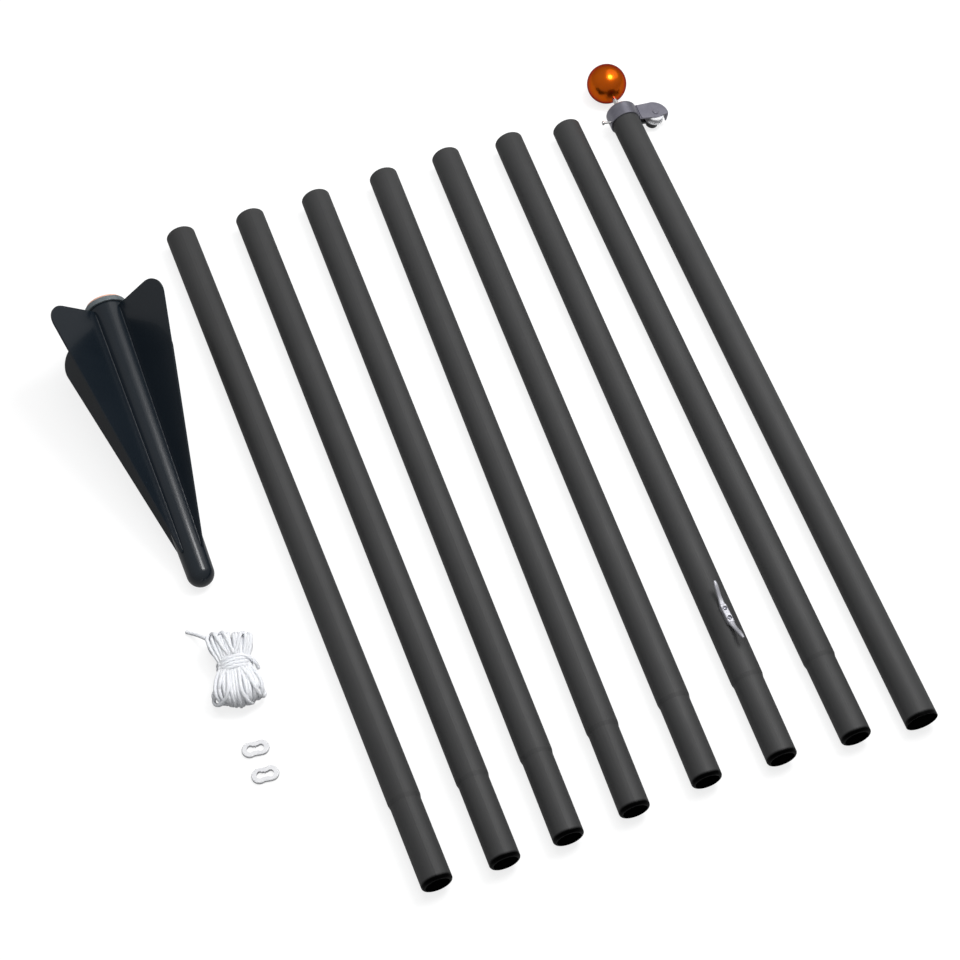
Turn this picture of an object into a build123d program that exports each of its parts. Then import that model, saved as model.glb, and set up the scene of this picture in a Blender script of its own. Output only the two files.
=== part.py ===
from build123d import *
from math import asin, atan2, cos, degrees, hypot, radians, sin, sqrt, tan
import os

# A sectional flagpole laid out on the floor beside its ground sleeve, halyard and clips.
# Lengths are in mm, +Z is up and the viewer looks along +Y. A lying piece is "turned" by the angle
# between its axis and the line to the viewer, with its near end swung to the right.

# Pole sections: one tube each, with a drawn-in end that plugs into the next section
section_length = 1280.0
tube_radius = 25.4
tube_wall = 1.3
joint_clearance = 0.2
swage_length = 134.0
swage_taper = 7.0
lip_radius = 5.0
cut_edge = 0.5

# Where things lie: places are counted in steps of lay_pitch, about the space from tube to tube
lay_pitch = 100.0

# Near end of each section (x, y) and its turn in degrees, from the left
section_lay = [
    (-0.50, -7.86, 21.1),
    (0.47, -7.53, 20.1),
    (1.39, -7.16, 19.1),
    (2.36, -6.73, 18.1),
    (3.44, -6.26, 18.0),
    (4.57, -5.90, 18.0),
    (5.70, -5.56, 18.4),
    (6.70, -5.28, 18.4),
]
cleat_section = 6

# Cleat on the upper side of its section, held by two screws
cleat_length = 106.5
cleat_place = 240.0
cleat_roll = 7.0
cleat_twist = -3.0
cleat_foot = 34.0
cleat_width = 10.5
cleat_crown = 8.6
cleat_corner = 2.0
cleat_edge = 1.6
cleat_seat_gap = 0.1
screw_spacing = 17.6
screw_radius = 2.2
screw_clearance = 0.15
screw_head_radius = 3.6
screw_head_height = 1.6

# Each horn of the cleat, in shares of half its length outwards: place, height, width, thickness, tilt
horn_stations = [
    (0.0, 4.0, 9.0, 5.4, 0),
    (0.385, 6.2, 8.6, 5.2, 21),
    (0.68, 12.6, 6.6, 4.6, 24),
    (0.94, 18.6, 4.8, 4.2, 18),
    (0.99, 19.6, 2.8, 2.4, 18),
]
horn_roundness = 0.42

# Truck: a cast cap over the top of the last section, with an arm over the pulley
cap_wall = 2.6
cap_clearance = 0.1
cap_height = 30.0
cap_top = 6.0
cap_rounding = 4.0
cap_rim_edge = 0.8
truck_roll = 11.0
arm_top = 12.0
arm_thickness = 2.6
arm_reach = 59.0
arm_low = -3.0
arm_high = 29.0
arm_bevel = 12.0
arm_rib_place = 28.5
arm_rib_width = 2.4
arm_rib_height = 1.2
pin_place = 9.0
guard_drop = 14.0
guard_thickness = 2.6
guard_gap = 4.0
guard_half_angle = 24.0
lower_cheek_thickness = 5.0
lower_cheek_radius = 12.0
lower_cheek_width = 10.0

# Pulley on its pin
pulley_radius = 17.5
pulley_width = 15.0
groove_radius = 4.6
pulley_face_gap = 0.5
pin_radius = 4.0
pin_clearance = 0.08
pin_fit = 0.05
pin_head_radius = 5.5
pin_head_height = 1.4
nut_radius = 11.0
nut_height = 9.0

# Ball finial on its stud, and the set screw that clamps the truck
ball_radius = 36.0
ball_neck = 35.0
ball_seat_depth = 1.5
stud_radius = 4.0
set_screw_place = 6.0
set_screw_radius = 2.0
set_screw_reach = 14.0
set_screw_head_radius = 4.0
set_screw_head_height = 2.4

# Ground sleeve: a tapered tube with four fins, a rim at the mouth, a liner and a domed tip
sleeve_length = 528.0
sleeve_foot_radius = 22.0
sleeve_wall = 2.3
sleeve_draft = 0.018
sleeve_tip = (-4.19, -2.90)
sleeve_turn = 21.5
rim_radius = 35.0
rim_height = 9.0
rim_edge = 1.5
socket_clearance = 0.4
liner_wall = 1.6
liner_clearance = 0.25
liner_depth = 60.0
liner_proud = 4.0
fin_thickness = 3.0
fin_corner = 139.0
fin_rounding = 33.0
fin_shoulder = 16.0
fin_start = 58.0
fin_step = 2.0
fin_seat_gap = 0.1

# Halyard: a hank of rope tied at its waist, with one free end
rope_radius = 3.0
hank_place = (-3.61, -4.41)
hank_turn = 9.5
hank_length = 122.0
hank_height = 51.0
hank_middle = 24.35
hank_lean = -0.05
hank_waist_width = 56.0
hank_head_width = 78.0
hank_foot_width = 76.0
free_end_route = [(-29, 55, 22), (-40, 65, 19), (-51, 76, 12.5), (-60, 84, 6), (-69, 90, 3.2)]

# Flag clips (x, y, turn of the long side from X)
clip_length = 42.0
clip_width = 24.6
clip_height = 6.0
clip_offset = 0.7
clip_eye_length = 10.4
clip_eye_width = 11.6
clip_eye_spacing = 15.8
clip_slot = 8.6
clip_beak = 2.6
clip_beak_gap = 2.2
clip_edge = 1.8
clip_lay = [(-3.25, -5.62, 11.0), (-3.08, -6.04, 12.0)]

tube_bore = tube_radius - tube_wall
plug_radius = tube_bore - joint_clearance
cap_bore = tube_radius + cap_clearance
cap_radius = cap_bore + cap_wall
liner_bore = tube_radius + socket_clearance
liner_radius = liner_bore + liner_wall
on_base = (Align.CENTER, Align.CENTER, Align.MIN)


def turned(*outline):
    # Solid of revolution about Z; the outline is drawn as (radius, height)
    return revolve(Plane.XZ * make_face(list(outline)), Axis.Z)


def lying(place, height, turn, lift=0.0):
    # Plane on a lying axis: Z runs away from the near end, X points up and Y to the right
    x, y = place[0] * lay_pitch, place[1] * lay_pitch
    swing, rise = radians(turn), radians(lift)
    away = (-sin(swing) * cos(rise), cos(swing) * cos(rise), sin(rise))
    up = (sin(swing) * sin(rise), -cos(swing) * sin(rise), cos(rise))
    return Plane(origin=(x, y, height), x_dir=up, z_dir=away)


def on_floor(x, y, turn):
    return Location((x * lay_pitch, y * lay_pitch, 0), (0, 0, turn))


def drawn_in_tube():
    lip_centre = (plug_radius - lip_radius, lip_radius)
    neck = plug_radius - tube_wall
    outer_lip = CenterArc(lip_centre, lip_radius, 270, 90)
    inner_lip = CenterArc(lip_centre, lip_radius - tube_wall, 270, 90)
    shoulder = swage_length + swage_taper
    sides = Polyline(
        outer_lip @ 1,
        (plug_radius, swage_length),
        (tube_radius, shoulder),
        (tube_radius, section_length - cut_edge),
        (tube_radius - cut_edge, section_length),
        (tube_bore, section_length),
        (tube_bore, shoulder),
        (neck, swage_length),
        inner_lip @ 1,
    )
    return turned(outer_lip, sides, inner_lip, Line(inner_lip @ 0, outer_lip @ 0))


def straight_tube():
    return turned(Polyline(
        (tube_bore, 0),
        (tube_radius - cut_edge, 0),
        (tube_radius, cut_edge),
        (tube_radius, section_length),
        (tube_bore, section_length),
        close=True,
    ))


# Cleat: drawn along the tube with X up, standing on a saddle cut to the tube
cleat_seat = tube_radius + cleat_seat_gap
cleat_top = cleat_seat + cleat_crown
screw_places = [-screw_spacing / 2, screw_spacing / 2]


def upright(place, height=0.0):
    # Place on the cleat's own line: Z points up out of the tube, X along the cleat
    turn = radians(cleat_twist)
    line = Plane(origin=(height, 0, cleat_place), x_dir=(0, sin(turn), cos(turn)), z_dir=(1, 0, 0))
    return line * Pos(place, 0, 0)


def cleat_horn():
    sections = []
    for share, height, width, thickness, tilt in horn_stations:
        out = (cos(radians(tilt)), 0, sin(radians(tilt)))
        across = Plane(origin=(share * cleat_length / 2, 0, height), x_dir=(0, 1, 0), z_dir=out)
        sections.append(across * RectangleRounded(width, thickness, horn_roundness * thickness))
    return loft(sections)


def cleat_body():
    boss = extrude(RectangleRounded(cleat_foot, cleat_width, cleat_corner), cleat_crown)
    boss = fillet(boss.edges().group_by(Axis.Z)[-1], cleat_edge)
    horn = cleat_horn()
    return boss + horn + mirror(horn, Plane.YZ)


def cleat_on_tube():
    saddle = cleat_seat - hypot(cleat_seat, cleat_width / 2) + cleat_seat
    body = upright(0, saddle) * cleat_body()
    body -= Cylinder(cleat_seat, section_length, align=on_base)
    for place in screw_places:
        body -= upright(place) * Cylinder(screw_radius + screw_clearance, cleat_top, align=on_base)
    return body


def cleat_screw(place):
    crown = 2 * cleat_seat - hypot(cleat_seat, cleat_width / 2) + cleat_crown
    shank = upright(place, tube_bore) * Cylinder(screw_radius, crown - tube_bore, align=on_base)
    head = Cylinder(screw_head_radius, screw_head_height, align=on_base)
    head = fillet(head.edges().sort_by(Axis.Z)[-1], screw_head_height / 2)
    return shank + upright(place, crown) * head


# Truck: Z = 0 at the lower rim of the cap, X up and Y towards the arm
cap_depth = cap_height - cap_top
arm_under = arm_top - arm_thickness
pulley_top = arm_under - pulley_face_gap
pulley_bottom = pulley_top - pulley_width
cheek_top = pulley_bottom - pulley_face_gap
cheek_bottom = cheek_top - lower_cheek_thickness
guard_inner = pulley_radius + guard_gap
guard_outer = guard_inner + guard_thickness


def plate_plane(height):
    # Plane of the arm at a height over the axis: its X runs along the arm, its Y along the pole
    return Plane(origin=(height, 0, 0), x_dir=(0, 1, 0), z_dir=(1, 0, 0))


def across_pin(height):
    return plate_plane(height) * Pos(arm_reach, pin_place, 0)


set_screw_axis = Plane(origin=(0, -cap_bore, set_screw_place), x_dir=(1, 0, 0), z_dir=(0, -1, 0))


def truck_cap():
    cap = turned(Polyline(
        (cap_bore, 0), (cap_radius, 0), (cap_radius, cap_height),
        (0, cap_height), (0, cap_depth), (cap_bore, cap_depth), close=True,
    ))
    cap = fillet(cap.edges().sort_by(Axis.Z)[-1], cap_rounding)
    cap = chamfer(cap.edges().group_by(Axis.Z)[0].sort_by(SortBy.RADIUS)[-1], cap_rim_edge)
    root = sqrt(cap_radius ** 2 - arm_top ** 2) - cap_wall / 2
    blade = make_face(Polyline(
        (root, arm_low), (root, arm_high), (arm_reach, pin_place + guard_outer), (arm_reach, arm_low),
        close=True,
    ))
    nose = Pos(arm_reach, pin_place) * Circle(guard_outer)
    trim = make_face(Polyline(
        (root - cap_wall, arm_low), (arm_reach, arm_low), (arm_reach + 2 * guard_outer, arm_low + arm_bevel),
        (arm_reach, arm_low - 2 * guard_outer), close=True,
    ))
    plate = blade + nose - trim
    arm = plate_plane(arm_under) * extrude(plate, arm_thickness)
    rib = Pos(arm_rib_place, (arm_low + arm_high) / 2) * Rectangle(arm_rib_width, arm_high - arm_low)
    arm += plate_plane(arm_under) * extrude(rib, arm_thickness + arm_rib_height)
    ring = Circle(guard_outer) - Circle(guard_inner)
    wedge = make_face(Polyline(
        (0, 0), (2 * guard_outer, 2 * guard_outer * sin(radians(guard_half_angle))),
        (2 * guard_outer, -2 * guard_outer * sin(radians(guard_half_angle))), close=True,
    ))
    guard = across_pin(arm_under - guard_drop) * extrude(ring & wedge, guard_drop)
    casting = cap + arm + guard
    casting -= across_pin(arm_under) * Cylinder(pin_radius + pin_fit, 2 * arm_thickness)
    casting -= Cylinder(cap_bore, cap_depth, align=on_base)
    casting -= Pos(0, 0, cap_depth) * Cylinder(stud_radius + pin_fit, cap_top, align=on_base)
    return casting - set_screw_axis * Cylinder(set_screw_radius + pin_fit, 2 * cap_wall, align=on_base)


def lower_cheek():
    root = sqrt(cap_radius ** 2 - cheek_top ** 2) - cap_wall / 2
    tongue = Rectangle(arm_reach - root, lower_cheek_width, align=(Align.MIN, Align.CENTER))
    tongue = Pos(root, pin_place) * tongue
    tongue += Pos(arm_reach, pin_place) * Circle(lower_cheek_radius)
    cheek = plate_plane(cheek_bottom) * extrude(tongue, lower_cheek_thickness)
    cheek -= across_pin(cheek_bottom) * Cylinder(pin_radius + pin_fit, lower_cheek_thickness, align=on_base)
    return cheek - Cylinder(cap_radius, 4 * cap_height)


def pulley():
    groove_centre = pulley_radius + groove_radius * 0.15
    rim = 1.6
    half = pulley_width / 2
    body = turned(Polyline(
        (pin_radius + pin_clearance, 0), (pulley_radius - rim, 0), (pulley_radius, rim),
        (pulley_radius, pulley_width - rim), (pulley_radius - rim, pulley_width),
        (pin_radius + pin_clearance, pulley_width), close=True,
    ))
    body -= turned(CenterArc((groove_centre, half), groove_radius, 0, 360))
    return across_pin(pulley_bottom) * body


def pulley_pin():
    length = arm_top - cheek_bottom
    shank = across_pin(cheek_bottom) * Cylinder(pin_radius, length, align=on_base)
    head = Cylinder(pin_head_radius, pin_head_height, align=on_base)
    head = fillet(head.edges().sort_by(Axis.Z)[-1], pin_head_height / 2)
    return shank + across_pin(arm_top) * head


def pulley_nut():
    nut = Cylinder(nut_radius, nut_height, align=on_base)
    nut = fillet(nut.edges().sort_by(Axis.Z)[0], nut_height / 4)
    return across_pin(cheek_bottom - nut_height) * nut


def set_screw():
    reach = cap_wall + set_screw_reach
    shank = Cylinder(set_screw_radius, reach, align=on_base)
    head = Pos(0, 0, reach) * Cylinder(set_screw_head_radius, set_screw_head_height, align=on_base)
    head = fillet(head.edges().sort_by(Axis.Z)[-1], set_screw_head_height / 3)
    return set_screw_axis * (shank + head)


ball_place = cap_height + ball_neck + ball_radius


def ball_stud():
    length = cap_height - cap_depth + ball_neck + ball_seat_depth
    return Pos(0, 0, cap_depth) * Cylinder(stud_radius, length, align=on_base)


def ball_finial():
    seat = Pos(0, 0, cap_height) * Cylinder(stud_radius, ball_neck + ball_seat_depth, align=on_base)
    return Pos(0, 0, ball_place) * Sphere(ball_radius) - seat


# Ground sleeve: Z = 0 at the point of the tip, the mouth at Z = sleeve_length, fins on the diagonals
dome_height = sleeve_foot_radius
sleeve_mouth = liner_radius + liner_clearance + sleeve_draft * liner_depth
sleeve_mouth_radius = sleeve_mouth + sleeve_wall
taper = (sleeve_mouth_radius - sleeve_foot_radius) / (sleeve_length - dome_height)


def sleeve_radius(z):
    return sleeve_foot_radius + taper * (z - dome_height)


def sleeve_tube():
    return turned(Polyline(
        (sleeve_foot_radius, dome_height), (sleeve_mouth_radius, sleeve_length),
        (sleeve_mouth_radius - sleeve_wall, sleeve_length), (sleeve_foot_radius - sleeve_wall, dome_height),
        close=True,
    ))


def sleeve_point():
    arc = CenterArc((0, dome_height), sleeve_foot_radius, 270, 90)
    return turned(arc, Polyline(arc @ 1, (0, dome_height), arc @ 0))


def sleeve_rim():
    low = sleeve_length - rim_height
    rim = turned(Polyline(
        (sleeve_radius(low), low), (rim_radius, low), (rim_radius, sleeve_length),
        (sleeve_mouth_radius, sleeve_length), close=True,
    ))
    outer = rim.edges().filter_by(GeomType.CIRCLE).group_by(SortBy.RADIUS)[-1]
    return fillet(outer, rim_edge)


def sleeve_liner():
    low = sleeve_length - liner_depth
    return turned(Polyline(
        (liner_bore, low), (liner_radius, low), (liner_radius, sleeve_length),
        (sleeve_mouth_radius, sleeve_length), (sleeve_mouth_radius, sleeve_length + liner_proud),
        (liner_bore, sleeve_length + liner_proud), close=True,
    ))


fin_top = sleeve_length - fin_shoulder
fin_low_reach = sleeve_radius(fin_start) + fin_seat_gap + fin_step
fin_slope = atan2(fin_corner - fin_low_reach, fin_top - fin_start)


def fin():
    outline = make_face(Polyline(
        (fin_low_reach - fin_step, fin_start), (fin_low_reach, fin_start), (fin_corner, fin_top),
        (sleeve_radius(fin_top) + fin_seat_gap, fin_top), close=True,
    ))
    outline = fillet(outline.vertices().sort_by(Axis.X)[-1], fin_rounding)
    return extrude(Plane.XZ * outline, fin_thickness / 2, both=True)


# The sleeve lies on two fins and its tip, so its mouth is lifted until both touch the floor
def sleeve_lift():
    diagonal = cos(radians(45))
    arc_reach = fin_corner - fin_rounding * (tan(fin_slope) + 1 / cos(fin_slope)) + fin_thickness / 2
    arc_place = fin_top - fin_rounding
    lift = 0.0
    for _ in range(12):
        fin_drop = arc_reach * diagonal * cos(lift) + fin_rounding * hypot(sin(lift), diagonal * cos(lift))
        lift = asin((fin_drop - sleeve_foot_radius) / (arc_place - dome_height))
    return degrees(lift)


# Halyard: the hank's outer shape, narrow at the tied waist and leaning a little to one side
def hank():
    half = hank_length / 2
    stations = [
        (-half, 0.62 * hank_foot_width, 0.5),
        (-0.7 * half, hank_foot_width, 0.94),
        (0, hank_waist_width, 0.88),
        (0.66 * half, hank_head_width, 0.94),
        (half, 0.84 * hank_head_width, 0.5),
    ]
    sections = []
    for y, width, share in stations:
        height = share * hank_height
        ring = Plane(origin=(hank_lean * y, y, hank_middle), x_dir=(1, 0, 0), z_dir=(0, 1, 0))
        sections.append(ring * Ellipse(width / 2, height / 2))
    return loft(sections)


# Free end of the halyard, in the hank's own frame: straight runs joined by the largest arcs that fit
def rope_tube(points):
    runs = [(Vector(b) - Vector(a)) for a, b in zip(points, points[1:])]
    radii = []
    for before, after in zip(runs, runs[1:]):
        turn = radians(before.get_angle(after))
        radii.append(0.45 * min(before.length, after.length) / tan(turn / 2))
    path = FilletPolyline(*points, radius=radii)
    print("rope arcs", [round(radius, 1) for radius in radii], "length", round(path.length, 1))
    return sweep(Plane(origin=path @ 0, z_dir=path % 0) * Circle(rope_radius), path)


# Flag clip: a flat link with two eyes joined by a slot that a beak narrows in the middle
def flag_clip():
    end = (clip_length - clip_width) / 2
    lobes = [Pos(-end, -clip_offset) * Circle(clip_width / 2), Pos(end, clip_offset) * Circle(clip_width / 2)]
    outer = lobes[0] + lobes[1] + Rectangle(2 * end, clip_width - 2 * clip_offset)
    outer = fillet(outer.vertices(), clip_edge)
    link = extrude(outer, clip_height)
    link = fillet(link.edges().filter_by(Plane.XY), clip_edge)
    half = clip_eye_spacing / 2
    eye = Ellipse(clip_eye_length / 2, clip_eye_width / 2)
    opening = Pos(-half, 0) * eye + Pos(half, 0) * eye + Rectangle(clip_eye_spacing, clip_slot)
    beak = make_face(Polyline(
        (-clip_beak, clip_slot), (clip_beak, clip_slot), (0, clip_beak_gap), close=True,
    ))
    return link - extrude(opening - beak, clip_height)


pieces = {}
near_ends = []
head_lift = degrees(asin((ball_radius - tube_radius) / (section_length - cap_depth + ball_place)))

for number, (x, y, turn) in enumerate(section_lay, start=1):
    is_head = number == len(section_lay)
    lift = head_lift if is_head else 0.0
    axis = lying((x, y), tube_radius * cos(radians(lift)), turn, lift)
    near_ends.append(axis)
    body = straight_tube() if is_head else drawn_in_tube()
    if number == cleat_section:
        rolled = Rot(0, 0, cleat_roll)
        pieces["cleat"] = axis * rolled * cleat_on_tube()
        for count, place in enumerate(screw_places, start=1):
            hole = Cylinder(screw_radius + screw_clearance, 2 * tube_radius, align=on_base)
            body -= rolled * (upright(place) * hole)
            pieces[f"cleat_screw_{count}"] = axis * rolled * cleat_screw(place)
    pieces[f"pole_section_{number}"] = axis * body

truck = near_ends[-1] * Pos(0, 0, section_length - cap_depth) * Rot(0, 0, truck_roll)
for name, solid in {
    "truck_cap": truck_cap(), "truck_lower_cheek": lower_cheek(), "pulley": pulley(),
    "pulley_pin": pulley_pin(), "pulley_nut": pulley_nut(), "set_screw": set_screw(),
    "ball_stud": ball_stud(), "ball_finial": ball_finial(),
}.items():
    pieces[name] = truck * solid

lift = sleeve_lift()
sleeve_axis = lying(sleeve_tip, sleeve_foot_radius - dome_height * sin(radians(lift)), sleeve_turn, lift)
sleeve = {
    "sleeve_tube": sleeve_tube(), "sleeve_tip": sleeve_point(),
    "sleeve_rim": sleeve_rim(), "sleeve_liner": sleeve_liner(),
}
for count in range(4):
    sleeve[f"sleeve_fin_{count + 1}"] = Rot(0, 0, 45 + 90 * count) * fin()
for name, solid in sleeve.items():
    pieces[name] = sleeve_axis * solid

hank_frame = on_floor(*hank_place, hank_turn)
pieces["halyard_hank"] = hank_frame * hank()
pieces["halyard_end"] = hank_frame * rope_tube(free_end_route)
for count, (x, y, turn) in enumerate(clip_lay, start=1):
    pieces[f"flag_clip_{count}"] = on_floor(x, y, turn) * flag_clip()

boxes = [piece.bounding_box() for piece in pieces.values()]
low_x, low_y = min(box.min.X for box in boxes), min(box.min.Y for box in boxes)
high_x, high_y = max(box.max.X for box in boxes), max(box.max.Y for box in boxes)
centre = Pos(-(low_x + high_x) / 2, -(low_y + high_y) / 2, 0)

os.makedirs("parts", exist_ok=True)
for name, piece in pieces.items():
    piece = centre * piece
    piece.label = name
    export_step(piece, f"parts/{name}.step")
    print(name, "lowest", round(piece.bounding_box().min.Z, 3), "volume", round(piece.volume))
print("moved by", centre.position, "sleeve lift", round(lift, 3), "head lift", round(head_lift, 4))
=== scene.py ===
import bpy
import math
import random
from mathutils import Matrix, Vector


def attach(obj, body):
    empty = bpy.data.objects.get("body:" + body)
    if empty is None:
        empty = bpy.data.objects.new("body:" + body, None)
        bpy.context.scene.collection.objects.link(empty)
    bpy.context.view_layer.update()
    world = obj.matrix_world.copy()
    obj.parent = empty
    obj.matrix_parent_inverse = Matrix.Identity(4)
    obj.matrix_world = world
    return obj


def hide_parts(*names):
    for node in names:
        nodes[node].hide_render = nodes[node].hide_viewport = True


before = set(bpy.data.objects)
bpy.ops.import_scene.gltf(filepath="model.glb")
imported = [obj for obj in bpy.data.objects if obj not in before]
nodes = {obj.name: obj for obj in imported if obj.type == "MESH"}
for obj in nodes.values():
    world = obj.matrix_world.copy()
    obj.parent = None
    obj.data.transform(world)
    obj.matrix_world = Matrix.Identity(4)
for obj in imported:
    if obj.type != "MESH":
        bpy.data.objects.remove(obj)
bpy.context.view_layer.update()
scene = bpy.context.scene
mm = 0.001

cameraView = {
    "place": (0.006420, -1.899223, 2.7954),  # metres
    "tilt": 33.018,  # degrees from straight down
    "lens": 77.11,  # millimetres, as the sensor's width
    "sensor": 36,
    "clip": (0.05, 60),  # metres
}

# Soft studio light, strongest from the right and behind, as the highlights on the ball and the tubes show
studio = {
    "lamps": {  # place and size in metres, power in watts, and whether gloss shows the lamp
        "topLamp": ((1.0, 0.6, 2.7), 1.15, 48.0, True),
        "sideLamp": ((1.5, 1.6, 2.5), 3.3, 20.0, True),
        "skyLamp": ((-0.2, 0.1, 2.9), 1.7, 30.0, False),
    },
    "lampTarget": (0, -0.1, 0),
    "skyColour": (0.96, 0.98, 1.0),
    "horizonLevel": 0.15,
    "zenithLevel": 0.40,
    "floorReach": 9.0,
    "floorColour": (0.28, 0.28, 0.28),
    "floorRoughness": 0.9,
    "floorSpecular": 0.1,
    "floorLift": (0.79, 1.0),
    "floorFade": (1.3, 4.0),  # metres from the middle, between which the one turns into the other
    "paperInGloss": 0.28,  # the share of paper white that gloss and glass see
}


def addToScene(obj):
    scene.collection.objects.link(obj)
    return obj


def makeCamera():
    data = bpy.data.cameras.new("viewer")
    data.sensor_width = cameraView["sensor"]
    data.lens = cameraView["lens"]
    data.clip_start, data.clip_end = cameraView["clip"]
    camera = addToScene(bpy.data.objects.new("viewer", data))
    camera.location = cameraView["place"]
    camera.rotation_euler = (math.radians(cameraView["tilt"]), 0, 0)
    scene.camera = camera


def softLamp(name, place, size, power, inGloss):
    data = bpy.data.lights.new(name, "AREA")
    data.shape = "DISK"
    data.size = size
    data.energy = power
    lamp = addToScene(bpy.data.objects.new(name, data))
    lamp.location = place
    lamp.visible_camera = False
    lamp.visible_glossy = inGloss
    lamp.rotation_mode = "QUATERNION"
    lamp.rotation_quaternion = (Vector(studio["lampTarget"]) - lamp.location).to_track_quat("-Z", "Y")


def newNode(tree, kind, spot, **settings):
    node = tree.nodes.new(kind)
    node.location = spot
    for setting, value in settings.items():
        setattr(node, setting, value)
    return node


def seesPaper(tree, spot):
    # 1 for rays from the camera, and a share for the ones that gloss and glass send on
    x, y = spot
    path = newNode(tree, "ShaderNodeLightPath", (x - 400, y))
    both = newNode(tree, "ShaderNodeMath", (x - 200, y), operation="MAXIMUM")
    share = newNode(tree, "ShaderNodeMath", spot, operation="MULTIPLY_ADD", use_clamp=True)
    share.inputs[1].default_value = studio["paperInGloss"]
    tree.links.new(path.outputs["Is Glossy Ray"], both.inputs[0])
    tree.links.new(path.outputs["Is Transmission Ray"], both.inputs[1])
    tree.links.new(both.outputs[0], share.inputs[0])
    tree.links.new(path.outputs["Is Camera Ray"], share.inputs[2])
    return share.outputs[0]


def makeWorld():
    world = bpy.data.worlds.new("studioAir")
    scene.world = world
    world.use_nodes = True
    tree = world.node_tree
    tree.nodes.clear()
    link = tree.links.new
    coords = newNode(tree, "ShaderNodeTexCoord", (-900, 0))
    parts = newNode(tree, "ShaderNodeSeparateXYZ", (-700, 0))
    ramp = newNode(tree, "ShaderNodeMapRange", (-500, 0))
    ramp.inputs["To Min"].default_value = studio["horizonLevel"]
    ramp.inputs["To Max"].default_value = studio["zenithLevel"]
    light = newNode(tree, "ShaderNodeBackground", (-250, 0))
    light.inputs["Color"].default_value = (*studio["skyColour"], 1)
    seen = newNode(tree, "ShaderNodeBackground", (-250, -160))
    seen.inputs["Color"].default_value = (1, 1, 1, 1)
    mix = newNode(tree, "ShaderNodeMixShader", (0, 0))
    out = newNode(tree, "ShaderNodeOutputWorld", (200, 0))
    link(coords.outputs["Generated"], parts.inputs[0])
    link(parts.outputs["Z"], ramp.inputs["Value"])
    link(ramp.outputs[0], light.inputs["Strength"])
    link(seesPaper(tree, (-250, 320)), mix.inputs[0])
    link(light.outputs[0], mix.inputs[1])
    link(seen.outputs[0], mix.inputs[2])
    link(mix.outputs[0], out.inputs[0])


def makeFloor():
    mesh = bpy.data.meshes.new("paperFloor")
    reach = studio["floorReach"]
    corners = [(-reach, -reach, 0), (reach, -reach, 0), (reach, reach, 0), (-reach, reach, 0)]
    mesh.from_pydata(corners, [], [(0, 1, 2, 3)])
    floor = addToScene(bpy.data.objects.new("paperFloor", mesh))
    paper = bpy.data.materials.new("whitePaper")
    paper.use_nodes = True
    tree = paper.node_tree
    bsdf = tree.nodes["Principled BSDF"]
    bsdf.inputs["Base Color"].default_value = (*studio["floorColour"], 1)
    bsdf.inputs["Roughness"].default_value = studio["floorRoughness"]
    bsdf.inputs["Specular IOR Level"].default_value = studio["floorSpecular"]
    bsdf.inputs["Emission Color"].default_value = (1, 1, 1, 1)
    coords = newNode(tree, "ShaderNodeTexCoord", (-900, -500))
    distance = newNode(tree, "ShaderNodeVectorMath", (-700, -500), operation="LENGTH")
    fade = newNode(tree, "ShaderNodeMapRange", (-500, -500), interpolation_type="SMOOTHSTEP")
    fade.inputs["From Min"].default_value, fade.inputs["From Max"].default_value = studio["floorFade"]
    fade.inputs["To Min"].default_value, fade.inputs["To Max"].default_value = studio["floorLift"]
    lift = newNode(tree, "ShaderNodeMath", (-300, -300), operation="MULTIPLY")
    tree.links.new(coords.outputs["Object"], distance.inputs[0])
    tree.links.new(distance.outputs["Value"], fade.inputs["Value"])
    tree.links.new(seesPaper(tree, (-500, -300)), lift.inputs[0])
    tree.links.new(fade.outputs[0], lift.inputs[1])
    tree.links.new(lift.outputs[0], bsdf.inputs["Emission Strength"])
    mesh.materials.append(paper)


makeCamera()
for lampName, settings in studio["lamps"].items():
    softLamp(lampName, *settings)
makeWorld()
makeFloor()
scene.view_settings.view_transform = "Standard"
print("studio: camera, lamps and paper floor are up")


# Shader groups that the finishes use. Every input is a number, and each finish sets all of them
def makeGroup(name, inputs, outputs):
    group = bpy.data.node_groups.new(name, "ShaderNodeTree")
    for way, sockets in (("INPUT", inputs), ("OUTPUT", outputs)):
        for socket in sockets:
            group.interface.new_socket(name=socket, in_out=way, socket_type="NodeSocketFloat")
    entry = newNode(group, "NodeGroupInput", (-1100, 0))
    leave = newNode(group, "NodeGroupOutput", (500, 0))
    return group, entry, leave


def noiseNode(tree, spot, detail, roughness):
    node = newNode(tree, "ShaderNodeTexNoise", spot)
    node.inputs["Detail"].default_value = detail
    node.inputs["Roughness"].default_value = roughness
    return node


def stretchNode(tree, spot, low, high):
    # Spreads what lies between two limits over 0 to 1
    node = newNode(tree, "ShaderNodeMapRange", spot, interpolation_type="SMOOTHSTEP")
    node.inputs["From Min"].default_value = low
    node.inputs["From Max"].default_value = high
    return node


# For each group, the detail and roughness of its noise, the limits that stretch it, and shares of the whole
grainShape = {
    "grain": (4.0, 0.6),
    "grainShare": 0.55,
    "patches": (5.0, 0.6),
    "patchLimits": (0.38, 0.64),
    "patchShare": 0.45,
}


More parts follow.
